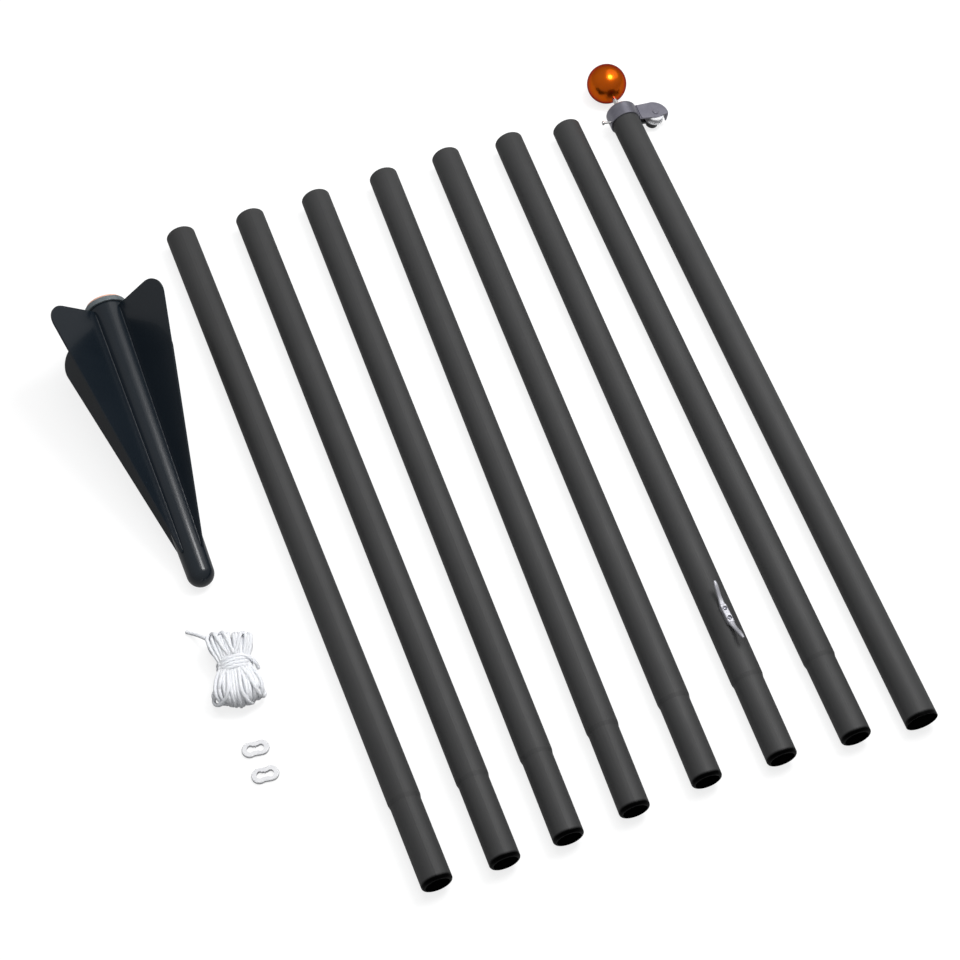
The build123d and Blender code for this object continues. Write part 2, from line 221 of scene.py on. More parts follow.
def fineGrainGroup():
    # Fine surface relief with broad patches that are a little rougher or paler
    inputs = ["Grain Scale", "Patch Scale", "Smoothest", "Roughest"]
    group, entry, leave = makeGroup("fineGrain", inputs, ["Roughness", "Height", "Patches"])
    link = group.links.new
    coords = newNode(group, "ShaderNodeTexCoord", (-1100, 300))
    grain = noiseNode(group, (-800, 200), *grainShape["grain"])
    patch = noiseNode(group, (-800, -100), *grainShape["patches"])
    spread = stretchNode(group, (-560, -100), *grainShape["patchLimits"])
    blend = newNode(group, "ShaderNodeMath", (-340, 60), operation="MULTIPLY_ADD")
    blend.inputs[1].default_value = grainShape["patchShare"]
    rough = newNode(group, "ShaderNodeMapRange", (-120, 100))
    share = newNode(group, "ShaderNodeMath", (-560, 120), operation="MULTIPLY")
    share.inputs[1].default_value = grainShape["grainShare"]
    link(coords.outputs["Object"], grain.inputs["Vector"])
    link(coords.outputs["Object"], patch.inputs["Vector"])
    link(entry.outputs["Grain Scale"], grain.inputs["Scale"])
    link(entry.outputs["Patch Scale"], patch.inputs["Scale"])
    link(patch.outputs[0], spread.inputs["Value"])
    link(grain.outputs[0], share.inputs[0])
    link(spread.outputs[0], blend.inputs[0])
    link(share.outputs[0], blend.inputs[2])
    link(blend.outputs[0], rough.inputs["Value"])
    link(entry.outputs["Smoothest"], rough.inputs["To Min"])
    link(entry.outputs["Roughest"], rough.inputs["To Max"])
    link(rough.outputs[0], leave.inputs["Roughness"])
    link(grain.outputs[0], leave.inputs["Height"])
    link(spread.outputs[0], leave.inputs["Patches"])
    return group


streakShape = {
    "noise": (2.0, 0.5),
    "limits": (0.36, 0.66),
    # The next two set painted shade: where it starts to fade on the near lip, and its share in the bore
    "lipShadeStart": 0.004,  # metres from the tube's near end, where the lip starts to fade
    "boreShadeShare": 0.88,
}


def drawnStreaksAndShadeGroup():
    # Faint lines along the length of a drawn tube, and a mask of painted shade on its near lip and in its
    # bore. Turn is the tube's direction on the floor, Near End is where it starts along it, and the axis lies
    # at
    # Axis X beside it
    inputs = ["Turn", "Lines", "Length", "Near End", "Lip", "Axis X", "Axis Z"]
    group, entry, leave = makeGroup("drawnStreaksAndShade", inputs, ["Streaks", "PaintedShade"])
    link = group.links.new
    coords = newNode(group, "ShaderNodeTexCoord", (-1100, 300))
    swing = newNode(group, "ShaderNodeVectorRotate", (-880, 200), rotation_type="Z_AXIS")
    flip = newNode(group, "ShaderNodeMath", (-1000, -120), operation="MULTIPLY")
    flip.inputs[1].default_value = -1.0
    pull = newNode(group, "ShaderNodeCombineXYZ", (-880, -60))
    scale = newNode(group, "ShaderNodeVectorMath", (-640, 120), operation="MULTIPLY")
    noise = noiseNode(group, (-420, 120), *streakShape["noise"])
    noise.inputs["Scale"].default_value = 1.0
    spread = stretchNode(group, (-180, 120), *streakShape["limits"])
    link(coords.outputs["Object"], swing.inputs["Vector"])
    link(entry.outputs["Turn"], flip.inputs[0])
    link(flip.outputs[0], swing.inputs["Angle"])
    link(entry.outputs["Lines"], pull.inputs["X"])
    link(entry.outputs["Length"], pull.inputs["Y"])
    link(entry.outputs["Lines"], pull.inputs["Z"])
    link(swing.outputs[0], scale.inputs[0])
    link(pull.outputs[0], scale.inputs[1])
    link(scale.outputs[0], noise.inputs["Vector"])
    link(noise.outputs[0], spread.inputs["Value"])
    link(spread.outputs[0], leave.inputs["Streaks"])
    # Painted shade on the near lip: full close to the near end, gone at Lip from it
    along = newNode(group, "ShaderNodeSeparateXYZ", (-640, -160))
    gone = newNode(group, "ShaderNodeMath", (-420, -160), operation="SUBTRACT")
    lip = newNode(group, "ShaderNodeMapRange", (-180, -160), interpolation_type="SMOOTHSTEP")
    lip.inputs["From Min"].default_value = streakShape["lipShadeStart"]
    lip.inputs["To Min"].default_value, lip.inputs["To Max"].default_value = 1.0, 0.0
    link(swing.outputs[0], along.inputs[0])
    link(along.outputs["Y"], gone.inputs[0])
    link(entry.outputs["Near End"], gone.inputs[1])
    link(gone.outputs[0], lip.inputs["Value"])
    link(entry.outputs["Lip"], lip.inputs["From Max"])
    # Painted shade in the bore: wherever the surface faces the tube's axis
    surface = newNode(group, "ShaderNodeNewGeometry", (-1100, -420))
    facing = newNode(group, "ShaderNodeVectorRotate", (-880, -420), rotation_type="Z_AXIS")
    axis = newNode(group, "ShaderNodeCombineXYZ", (-880, -640))
    radial = newNode(group, "ShaderNodeVectorMath", (-640, -520), operation="SUBTRACT")
    inwards = newNode(group, "ShaderNodeVectorMath", (-640, -380), operation="MULTIPLY")
    inwards.inputs[1].default_value = (1, 0, 1)
    outwards = newNode(group, "ShaderNodeVectorMath", (-420, -420), operation="DOT_PRODUCT")
    bore = newNode(group, "ShaderNodeMath", (-180, -420), operation="LESS_THAN")
    bore.inputs[1].default_value = 0.0
    share = newNode(group, "ShaderNodeMath", (0, -420), operation="MULTIPLY")
    share.inputs[1].default_value = streakShape["boreShadeShare"]
    paintedShade = newNode(group, "ShaderNodeMath", (180, -260), operation="MAXIMUM")
    link(surface.outputs["Normal"], facing.inputs["Vector"])
    link(flip.outputs[0], facing.inputs["Angle"])
    link(entry.outputs["Axis X"], axis.inputs["X"])
    link(entry.outputs["Axis Z"], axis.inputs["Z"])
    link(swing.outputs[0], radial.inputs[0])
    link(axis.outputs[0], radial.inputs[1])
    link(facing.outputs[0], inwards.inputs[0])
    link(radial.outputs[0], outwards.inputs[0])
    link(inwards.outputs[0], outwards.inputs[1])
    link(outwards.outputs["Value"], bore.inputs[0])
    link(lip.outputs[0], paintedShade.inputs[0])
    link(bore.outputs[0], share.inputs[0])
    link(share.outputs[0], paintedShade.inputs[1])
    link(paintedShade.outputs[0], leave.inputs["PaintedShade"])
    return group


scuffShape = {
    "noise": (6.0, 0.65),
    "limits": (0.62, 0.74),
    "turn": (0.3, 0.2, 0.9),  # radians
    "stretch": (1.0, 7.0, 2.0),
}


def scuffsGroup():
    # Sparse pale marks from handling
    group, entry, leave = makeGroup("handlingScuffs", ["Scale", "Amount"], ["Scuffs"])
    link = group.links.new
    coords = newNode(group, "ShaderNodeTexCoord", (-1100, 300))
    bend = newNode(group, "ShaderNodeMapping", (-880, 200))
    bend.inputs["Rotation"].default_value = scuffShape["turn"]
    bend.inputs["Scale"].default_value = scuffShape["stretch"]
    noise = noiseNode(group, (-640, 120), *scuffShape["noise"])
    spread = stretchNode(group, (-400, 120), *scuffShape["limits"])
    share = newNode(group, "ShaderNodeMath", (-160, 100), operation="MULTIPLY")
    link(coords.outputs["Object"], bend.inputs["Vector"])
    link(bend.outputs[0], noise.inputs["Vector"])
    link(entry.outputs["Scale"], noise.inputs["Scale"])
    link(noise.outputs[0], spread.inputs["Value"])
    link(spread.outputs[0], share.inputs[0])
    link(entry.outputs["Amount"], share.inputs[1])
    link(share.outputs[0], leave.inputs["Scuffs"])
    return group


braidShape = {
    "fuzz": (2.0, 0.6),
    "fuzzShare": 0.35,
    "shadeLimits": (-1.0, 0.6),
}


def ropeBraidGroup():
    # Diamond braid from the rope's own coordinates: U runs round it, V counts its lays. Shade is a mask
    # of painted shade, low in the grooves between the strands
    group, entry, leave = makeGroup("ropeBraid", ["Carriers", "Fuzz"], ["Height", "Shade"])
    link = group.links.new
    coords = newNode(group, "ShaderNodeTexCoord", (-1500, 300))
    parts = newNode(group, "ShaderNodeSeparateXYZ", (-1300, 200))
    around = newNode(group, "ShaderNodeMath", (-1080, 200), operation="MULTIPLY")
    link(coords.outputs["UV"], parts.inputs[0])
    link(parts.outputs["X"], around.inputs[0])
    link(entry.outputs["Carriers"], around.inputs[1])
    waves = []
    for row, kind in ((200, "ADD"), (0, "SUBTRACT")):
        lean = newNode(group, "ShaderNodeMath", (-860, row), operation=kind)
        turn = newNode(group, "ShaderNodeMath", (-660, row), operation="MULTIPLY")
        turn.inputs[1].default_value = 2 * math.pi
        wave = newNode(group, "ShaderNodeMath", (-460, row), operation="COSINE")
        link(around.outputs[0], lean.inputs[0])
        link(parts.outputs["Y"], lean.inputs[1])
        link(lean.outputs[0], turn.inputs[0])
        link(turn.outputs[0], wave.inputs[0])
        waves.append(wave)
    over = newNode(group, "ShaderNodeMath", (-260, 100), operation="MAXIMUM")
    fuzz = noiseNode(group, (-460, -260), *braidShape["fuzz"])
    rise = newNode(group, "ShaderNodeMath", (-60, 0), operation="MULTIPLY_ADD")
    rise.inputs[1].default_value = braidShape["fuzzShare"]
    shade = newNode(group, "ShaderNodeMapRange", (140, 160))
    shade.inputs["From Min"].default_value, shade.inputs["From Max"].default_value = braidShape["shadeLimits"]
    link(waves[0].outputs[0], over.inputs[0])
    link(waves[1].outputs[0], over.inputs[1])
    link(coords.outputs["Object"], fuzz.inputs["Vector"])
    link(entry.outputs["Fuzz"], fuzz.inputs["Scale"])
    link(fuzz.outputs[0], rise.inputs[0])
    link(over.outputs[0], rise.inputs[2])
    link(rise.outputs[0], leave.inputs["Height"])
    link(over.outputs[0], shade.inputs["Value"])
    link(shade.outputs[0], leave.inputs["Shade"])
    return group


fineGrain = fineGrainGroup()
drawnStreaksAndShade = drawnStreaksAndShadeGroup()
handlingScuffs = scuffsGroup()
ropeBraid = ropeBraidGroup()
print("shader groups: grain, streaks, scuffs and braid are made")


def groupNode(tree, group, spot, **values):
    node = newNode(tree, "ShaderNodeGroup", spot, node_tree=group)
    for socket, value in values.items():
        node.inputs[socket.replace("_", " ")].default_value = value
    return node


def mixColours(tree, spot, first, second):
    node = newNode(tree, "ShaderNodeMix", spot, data_type="RGBA")
    node.inputs["A"].default_value = (*first, 1)
    node.inputs["B"].default_value = (*second, 1)
    return node


# What a look has where it says nothing else
plainLook = {
    "scuffScale": 30.0,
    "metallic": 0.0,
    "specular": 0.5,
    "edgeTint": (1, 1, 1),
    "coat": 0.0,
    "coatRoughness": 0.1,
}


# One finish: colour in two tones, grain, patches and scuffs. Lengths in millimetres, scales per metre.
# A look with a "turn" gets drawn lines along a tube, and painted shade in its bore and on the lip at
# its near end, where the colour turns near black and metallic, so that it hardly reflects
def makeFinish(name, ownLook):
    look = {**plainLook, **ownLook}
    material = bpy.data.materials.new(name)
    material.use_nodes = True
    tree = material.node_tree
    link = tree.links.new
    bsdf = tree.nodes["Principled BSDF"]
    grain = groupNode(tree, fineGrain, (-700, 200),
                      Grain_Scale=look["grainScale"], Patch_Scale=look["patchScale"],
                      Smoothest=look["smoothest"], Roughest=look["roughest"])
    scuffs = groupNode(tree, handlingScuffs, (-700, -100), Scale=look["scuffScale"], Amount=look["scuffs"])
    tone = mixColours(tree, (-440, 260), look["colour"], look["secondColour"])
    worn = mixColours(tree, (-220, 200), look["colour"], look["scuffColour"])
    link(grain.outputs["Patches"], tone.inputs["Factor"])
    link(tone.outputs["Result"], worn.inputs["A"])
    link(scuffs.outputs["Scuffs"], worn.inputs["Factor"])
    link(worn.outputs["Result"], bsdf.inputs["Base Color"])
    link(grain.outputs["Roughness"], bsdf.inputs["Roughness"])
    if look["relief"]:
        bump = newNode(tree, "ShaderNodeBump", (-220, -160))
        bump.inputs["Distance"].default_value = look["relief"] * mm
        link(grain.outputs["Height"], bump.inputs["Height"])
        link(bump.outputs[0], bsdf.inputs["Normal"])
    bsdf.inputs["Metallic"].default_value = look["metallic"]
    if "turn" in look:
        streaksAndShade = groupNode(tree, drawnStreaksAndShade, (-700, -360), Turn=math.radians(look["turn"]),
                            Lines=look["streakLines"], Length=look["streakLength"],
                            Near_End=look["nearEnd"], Lip=look["lip"] * mm,
                            Axis_X=look["axis"][0], Axis_Z=look["axis"][1])
        both = newNode(tree, "ShaderNodeMath", (-440, -200), operation="MULTIPLY_ADD")
        both.inputs[1].default_value = look["streakShare"]
        # Painted shade in the bore and on the near lip: near-black colour and full metal, so it hardly
        # reflects
        paintedShade = mixColours(tree, (-20, 240), look["colour"], look["lipShadeColour"])
        link(streaksAndShade.outputs["Streaks"], both.inputs[0])
        link(grain.outputs["Height"], both.inputs[2])
        link(both.outputs[0], bump.inputs["Height"])
        link(worn.outputs["Result"], paintedShade.inputs["A"])
        link(streaksAndShade.outputs["PaintedShade"], paintedShade.inputs["Factor"])
        link(paintedShade.outputs["Result"], bsdf.inputs["Base Color"])
        link(streaksAndShade.outputs["PaintedShade"], bsdf.inputs["Metallic"])
    bsdf.inputs["Specular IOR Level"].default_value = look["specular"]
    bsdf.inputs["Specular Tint"].default_value = (*look["edgeTint"], 1)
    bsdf.inputs["Coat Weight"].default_value = look["coat"]
    bsdf.inputs["Coat Roughness"].default_value = look["coatRoughness"]
    return material


def paint(names, material):
    for name in names:
        for place in nodes[name].material_slots:
            place.material = material


def reachAlong(name, direction):
    # Where a node starts and ends along a direction
    reaches = [vertex.co.dot(Vector(direction)) for vertex in nodes[name].data.vertices]
    return min(reaches), max(reaches)


def tubeSpot(name, degrees):
    # Direction, start and axis of a lying tube
    turn = math.radians(degrees)
    start = reachAlong(name, (-math.sin(turn), math.cos(turn), 0))[0]
    axis = [sum(reachAlong(name, way)) / 2 for way in ((math.cos(turn), math.sin(turn), 0), (0, 0, 1))]
    return {"turn": degrees, "nearEnd": start, "axis": axis}


# Satin black tubes, each with its own direction for the drawn lines
tubeLook = {
    "colour": (0.0400, 0.0400, 0.0403),
    "secondColour": (0.0370, 0.0370, 0.0373),
    "scuffColour": (0.050, 0.050, 0.051),
    # Near-black painted shade for the bore and the near lip, and the millimetres over which the lip's shade
    # fades
    "lipShadeColour": (0.002, 0.002, 0.002),
    "lip": 9.0,
    "scuffs": 0.2,
    "scuffScale": 9.0,
    "smoothest": 0.53,
    "roughest": 0.60,
    "specular": 0.31,
    "grainScale": 1500.0,
    "patchScale": 9.0,
    "relief": 0.05,
    "streakLines": 420.0,
    "streakLength": 3.0,
    "streakShare": 0.8,
}
tubeTurns = [21.1, 20.1, 19.1, 18.1, 18.0, 18.0, 18.4, 18.4]  # degrees, from section 1 to section 8
for number, turn in enumerate(tubeTurns, start=1):
    name = f"pole_section_{number}"
    paint([name], makeFinish(f"blackTube{number}", {**tubeLook, **tubeSpot(name, turn)}))
print("finish: eight satin black tubes")

# Metal fittings
castingLook = {
    "colour": (0.24, 0.235, 0.275),
    "secondColour": (0.21, 0.205, 0.245),
    "scuffColour": (0.42, 0.42, 0.47),
    "scuffs": 0.2,
    "smoothest": 0.25,
    "roughest": 0.36,
    "metallic": 0.88,
    "grainScale": 900.0,
    "patchScale": 60.0,
    "relief": 0.03,
}
cleatLook = {
    "colour": (0.40, 0.40, 0.43),
    "secondColour": (0.36, 0.36, 0.39),
    "scuffColour": (0.48, 0.48, 0.51),
    "scuffs": 0.1,
    "smoothest": 0.44,
    "roughest": 0.50,
    "metallic": 0.5,
    "grainScale": 400.0,
    "patchScale": 50.0,
    "relief": 0,
}
screwLook = {
    "colour": (0.16, 0.16, 0.18),
    "secondColour": (0.13, 0.13, 0.15),
    "scuffColour": (0.24, 0.24, 0.26),
    "scuffs": 0.2,
    "smoothest": 0.26,
    "roughest": 0.36,
    "metallic": 1.0,
    "grainScale": 900.0,
    "patchScale": 120.0,
    "relief": 0.006,
}
steelLook = {
    "colour": (0.78, 0.77, 0.76),
    "secondColour": (0.66, 0.65, 0.64),
    "scuffColour": (0.90, 0.90, 0.90),
    "scuffs": 0.2,
    "smoothest": 0.14,
    "roughest": 0.24,
    "metallic": 1.0,
    "grainScale": 900.0,
    "patchScale": 120.0,
    "relief": 0.006,
}
goldLook = {
    "colour": (0.72, 0.125, 0.003),
    "secondColour": (0.66, 0.11, 0.003),
    "scuffColour": (0.82, 0.21, 0.02),
    "edgeTint": (0.34, 0.15, 0.06),
    "scuffs": 0.1,
    "smoothest": 0.22,
    "roughest": 0.28,
    "metallic": 1.0,
    "coat": 0.1,
    "coatRoughness": 0.06,
    "grainScale": 220.0,
    "patchScale": 30.0,
    "relief": 0.02,
}
paint(["truck_cap", "pulley_pin"], makeFinish("truckCasting", castingLook))
paint(["cleat"], makeFinish("polishedCleat", cleatLook))
paint(["set_screw", "ball_stud"], makeFinish("brightSteel", steelLook))
screwSteel = makeFinish("screwSteel", screwLook)
paint(["ball_finial"], makeFinish("goldBall", goldLook))
print("finish: casting, cleat, steel and gold")

# Plastics
nylonLook = {
    "colour": (0.79, 0.79, 0.80),
    "secondColour": (0.74, 0.74, 0.76),
    "scuffColour": (0.84, 0.84, 0.84),
    "scuffs": 0.3,
    "smoothest": 0.30,
    "roughest": 0.45,
    "grainScale": 1300.0,
    "patchScale": 80.0,
    "relief": 0.06,
}
# Black of the nut, also used as painted shade on the truck's lower cheek
nutAndCheekShadeLook = {
    "colour": (0.020, 0.021, 0.023),
    "secondColour": (0.014, 0.015, 0.017),
    "scuffColour": (0.09, 0.09, 0.10),
    "scuffs": 0.3,
    "smoothest": 0.25,
    "roughest": 0.40,
    "grainScale": 1400.0,
    "patchScale": 90.0,
    "relief": 0.05,
}
sleeveLook = {
    "colour": (0.0050, 0.0088, 0.0135),
    "secondColour": (0.0065, 0.0108, 0.0160),
    "scuffColour": (0.013, 0.018, 0.024),
    "scuffs": 0.10,
    "scuffScale": 16.0,
    "smoothest": 0.24,
    "roughest": 0.27,
    "specular": 0.34,
    "coat": 0.16,
    "coatRoughness": 0.05,
    "grainScale": 500.0,
    "patchScale": 5.0,
    "relief": 0,
}
rimLook = {
    "colour": (0.13, 0.15, 0.16),
    "secondColour": (0.10, 0.12, 0.13),
    "scuffColour": (0.30, 0.32, 0.33),
    "scuffs": 0.4,
    "smoothest": 0.30,
    "roughest": 0.42,
    "grainScale": 900.0,
    "patchScale": 50.0,
    "relief": 0.05,
}
linerLook = {
    "colour": (0.80, 0.46, 0.34),
    "secondColour": (0.74, 0.41, 0.30),
    "scuffColour": (0.86, 0.56, 0.44),
    "scuffs": 0.4,
    "smoothest": 0.45,
    "roughest": 0.60,
    "grainScale": 900.0,
    "patchScale": 60.0,
    "relief": 0.08,
}
paint(["pulley", "flag_clip_1", "flag_clip_2"], makeFinish("whiteNylon", nylonLook))
# The nut is black; the lower cheek, grey like the casting, gets the same black as painted shade under the
# pulley
paint(["pulley_nut", "truck_lower_cheek"], makeFinish("blackNutAndCheekShade", nutAndCheekShadeLook))
sleeveBlack = makeFinish("glossySleeve", sleeveLook)
finCount = 4
finNames = [f"sleeve_fin_{fin + 1}" for fin in range(finCount)]
paint(["sleeve_tube", "sleeve_tip", *finNames], sleeveBlack)
paint(["sleeve_rim"], makeFinish("greyRim", rimLook))
paint(["sleeve_liner"], makeFinish("peachLiner", linerLook))
print("finish: nylon, nut, sleeve, rim and liner")


sharpAngle = 38  # degrees, from which on an edge shows as sharp


def smoothMesh(name, vertices, faces):
    mesh = bpy.data.meshes.new(name)
    mesh.from_pydata(vertices, [], faces)
    for face in mesh.polygons:
        face.use_smooth = True
    return mesh


def ringedMesh(name, vertices, faces, finish):
    mesh = smoothMesh(name, vertices, faces)
    mesh.materials.append(finish)
    mesh.set_sharp_from_angle(angle=math.radians(sharpAngle))
    piece = addToScene(bpy.data.objects.new(name, mesh))
    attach(piece, "root")
    return piece


def bandFaces(low, high, sides):
    # Quads between two rings of vertices, facing outwards where the rings run round counter-clockwise
    ahead = [(step + 1) % sides for step in range(sides)]
    return [(low + step, low + ahead[step], high + ahead[step], high + step) for step in range(sides)]


# Glue beads along both sides of each fin's root, in millimetres and degrees. They run up the sleeve from its
# tip and widen with it
finRoots = {
    "tip": (-422.580, -291.223, 18.621),
    "turn": 21.5,  # the sleeve's direction on the floor
    "lift": 8.836,  # and above it
    "footRadius": 22.0,
    "widening": 0.01785,
    "halfFin": 1.5,
    "reach": (62, 508),  # from the tip
    "beadStep": 3,
    "beadRadius": 1.3,
    "ripple": 0.16,
    "taperSteps": 6,
    "sides": 8,
    "seed": 40,
}


def finRootBead(fin, side):
    turn, lift = math.radians(finRoots["turn"]), math.radians(finRoots["lift"])
    along = Vector((-math.sin(turn) * math.cos(lift), math.cos(turn) * math.cos(lift), math.sin(lift)))
    up = Vector((math.sin(turn) * math.sin(lift), -math.cos(turn) * math.sin(lift), math.cos(lift)))
    across = along.cross(up)
    angle = math.radians((fin + 0.5) * 360 / finCount)
    radial = up * math.cos(angle) + across * math.sin(angle)
    tangent = (across * math.cos(angle) - up * math.sin(angle)) * side
    dice = random.Random(finRoots["seed"] + 2 * fin + side)
    sides, places = finRoots["sides"], range(*finRoots["reach"], finRoots["beadStep"])
    vertices, faces = [], []
    for count, place in enumerate(places):
        fromEnd = min(count + 1, len(places) - count)
        taper = math.sin(math.pi * min(1, fromEnd / finRoots["taperSteps"]) / 2)
        radius = finRoots["beadRadius"] * taper * (1 + dice.uniform(-1, 1) * finRoots["ripple"])
        reach = finRoots["footRadius"] + finRoots["widening"] * (place - finRoots["footRadius"])
        centre = Vector(finRoots["tip"]) + along * place + radial * reach + tangent * finRoots["halfFin"]
        for step in range(sides):
            swing = 2 * math.pi * step / sides
            outwards = radial * math.cos(swing) + tangent * side * math.sin(swing)
            vertices.append((centre + outwards * radius) * mm)
        if count:
            faces += bandFaces((count - 1) * sides, count * sides, sides)
    faces.append(tuple(range(sides))[::-1])
    faces.append(tuple(range(len(vertices) - sides, len(vertices))))
    name = f"finRoot{fin + 1}{'Left' if side > 0 else 'Right'}"
    return ringedMesh(name, vertices, faces, sleeveBlack)


for fin in range(finCount):
    for side in (1, -1):
        finRootBead(fin, side)
print("sleeve: beads along the roots of four fins")

# Pan head screws of the cleat with a cross recess, in millimetres and degrees
cleatScrews = {
    "lean": 7.0,
    "leanWay": 18.0,
    "headRadius": 3.6,
    "headHeight": 1.6,
    "edge": 0.8,
    "crown": 0.25,
    "shankRadius": 2.2,
    "armHalfWidth": 0.60,
    "armReach": 2.3,
    "recess": 1.1,
    "recessSlope": 0.3,
    "crownBand": 0.02,  # how far below its top the solid's vertices still count as the middle of the head
    "twists": {"cleat_screw_1": 20.0, "cleat_screw_2": 65.0},
    "sides": 72,
    "flatRings": 22,
    "edgeRings": 5,
}


def crossDepth(x, y):
    # 1 in the recess, 0 on the head, and a steep slope between them
    reach, half = cleatScrews["armReach"], cleatScrews["armHalfWidth"]
    beyond = min(max(abs(x) - reach, abs(y) - half), max(abs(y) - reach, abs(x) - half))
    return min(1.0, max(0.0, 0.5 - beyond / cleatScrews["recessSlope"]))


def headProfile(length):
    # Radius and height of each ring, from the middle of the head over its rounded edge to the shank's end
    radius, height, edge = cleatScrews["headRadius"], cleatScrews["headHeight"], cleatScrews["edge"]
    flatRings, edgeRings = cleatScrews["flatRings"], cleatScrews["edgeRings"]
    shank, flat = cleatScrews["shankRadius"], radius - edge
    rings = []
    for count in range(1, flatRings + 1):
        rings.append((flat * count / flatRings, height - cleatScrews["crown"] * (count / flatRings) ** 2))
    top = rings[-1][1] - edge
    for count in range(1, edgeRings + 1):
        angle = math.radians(90 * count / edgeRings)
        rings.append((flat + edge * math.sin(angle), top + edge * math.cos(angle)))
    return rings + [(radius, 0.0), (shank, 0.0), (shank, height - length)]


def crossHead(name, twist):
    lean, way = math.radians(cleatScrews["lean"]), math.radians(cleatScrews["leanWay"])
    out = Vector((math.sin(lean) * math.cos(way), math.sin(lean) * math.sin(way), math.cos(lean)))
    low, top = (reach / mm for reach in reachAlong(name, out))
    crownFoot = top - cleatScrews["crownBand"]
    crown = [vertex.co / mm for vertex in nodes[name].data.vertices if vertex.co.dot(out) / mm > crownFoot]
    middle = sum(crown, Vector()) / len(crown) - out * cleatScrews["headHeight"]
    across = out.orthogonal().normalized()
    along = out.cross(across)
    rings, sides = headProfile(top - low), cleatScrews["sides"]
    vertices = [middle + out * (cleatScrews["headHeight"] - cleatScrews["recess"])]
    faces = [(0, 1 + step, 1 + (step + 1) % sides) for step in range(sides)]
    for count, (radius, height) in enumerate(rings):
        for step in range(sides):
            angle = 2 * math.pi * step / sides
            turned = angle - math.radians(twist)
            x, y = radius * math.cos(turned), radius * math.sin(turned)
            sunk = cleatScrews["recess"] * crossDepth(x, y) if count < cleatScrews["flatRings"] else 0.0
            spot = across * math.cos(angle) + along * math.sin(angle)
            vertices.append(middle + spot * radius + out * (height - sunk))
        if count:
            low = 1 + (count - 1) * sides
            faces += [face[::-1] for face in bandFaces(low, low + sides, sides)]
    faces.append(tuple(range(len(vertices) - sides, len(vertices)))[::-1])
    places = [vertex * mm for vertex in vertices]
    screw = ringedMesh(name.replace("cleat_screw_", "crossScrew"), places, faces, screwSteel)
    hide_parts(name)


for screwName, twist in cleatScrews["twists"].items():
    crossHead(screwName, twist)
print("cleat: two cross recess screws")


# Halyard, in the hank's own frame: X to the right, Y away from the viewer, Z up, in millimetres and degrees.
# A share is a place across the hank, from -1 at its left side to 1 at its right
halyard = {
    "place": (-364.580, -442.223),
    "turn": 9.5,
    "ropeWidth": 6.0,
    "middleHeight": 24.0,
    "waistPlace": 6.0,
    "outerLoops": 13,
    "innerLoops": 10,
    "outerRise": 20.9,  # from the middle to a run's centre, where the hank is fattest
    "innerRise": 15.2,
    "outerWidth": 37.0,
    "innerWidth": 30.0,
    "outerWaist": (20.0, 12.5),  # half width and half height of the ring of runs at the waist
    "innerWaist": (13.5, 6.6),
    "headReach": (62.0, -3.0),  # in the middle, and more for each share of the width
    "footReach": (60.0, -10.0),  # in the middle, and more at the sides
    "innerInset": 6.5,
    "looseness": 4.0,  # the most that chance takes off a reach
    "shuffle": 0.06,  # and the most that it moves a share
    "outermost": 0.94,  # share of the first and the last packed turn
    "upperArch": 0.72,  # how steeply the runs sink towards the sides
    "lowerArch": 0.45,
    "lowerSpread": 0.58,
    "pullPlaces": (0.45, 0.40),  # parts of the reach at foot and head where the waist's pull shows
    "pull": 0.7,  # how far a run has gone there from the waist's spot to the end's
    "foldCorners": 4,
    "lean": -0.05,
    # Loose loops over the rest: shares of the width at head, waist and foot above, at head and foot below,
    # then how far they reach at head and foot
    "looseLoops": [
        (-0.55, 0.10, 0.62, -0.95, 1.05, 64.0, 50.0),
        (0.42, -0.25, -0.72, 0.85, -1.12, 58.0, 42.0),
        (-0.15, 0.35, 0.10, -0.62, 0.55, 63.0, 59.0),
        (-0.80, -0.45, -0.38, -1.08, -1.15, 65.0, 55.0),
    ],
    "looseRise": 24.6,
    "looseDrop": 0.72,
    "wrapPoints": 12,  # in one turn
    "wrapEnds": (2, 9),  # the first point, and how many follow the last whole turn
    "wrapCount": 3,
    "wrapStep": -5.8,
    "wrapSkew": 0.12,
    "wrapHalfWidth": 25.4,
    "wrapHalfHeight": 18.4,
    # Points that the rope passes before its wraps, between them and the turns, and after the last turn
    "tail": [(35.5, -4.0, 26.0), (33.5, 1.0, 32.0), (29.0, 8.0, 37.5)],
    "tuckIn": [(-3.0, -8.0, 6.5), (7.0, -12.0, 7.0), (13.0, -20.0, 8.0)],
    "freeEnd": [(-29, 55, 22), (-40, 65, 19), (-51, 76, 12.5), (-60, 84, 6), (-69, 90, 3.2)],
    "sides": 16,
    "smoothness": 11,
    "leastStep": 0.02,  # points of the centreline that lie nearer count as one
    "carriers": 4,  # strands that run each way round the rope
    "lay": 9.0,  # the length in which the braid repeats
    "carrierRise": 0.10,
    "dome": 0.5,  # height of a melted end, as a part of the rope's radius
    "seed": 11,
}


def inHank(point):
    x, y, z = point
    swing = math.radians(halyard["turn"])
    baseX, baseY = halyard["place"]
    return Vector((
        baseX + x * math.cos(swing) - y * math.sin(swing),
        baseY + x * math.sin(swing) + y * math.cos(swing),
        z,
    )) * mm


def runSpot(share, top, width, rise):
    # Where a run of one loop crosses the hank: upper runs follow an arch, lower ones lie closer and flatter
    arch = halyard["upperArch" if top else "lowerArch"]
    height = rise * math.sqrt(1 - (arch * share) ** 2)
    if top:
        return share * width, halyard["middleHeight"] + height
    return halyard["lowerSpread"] * share * width, halyard["middleHeight"] - height


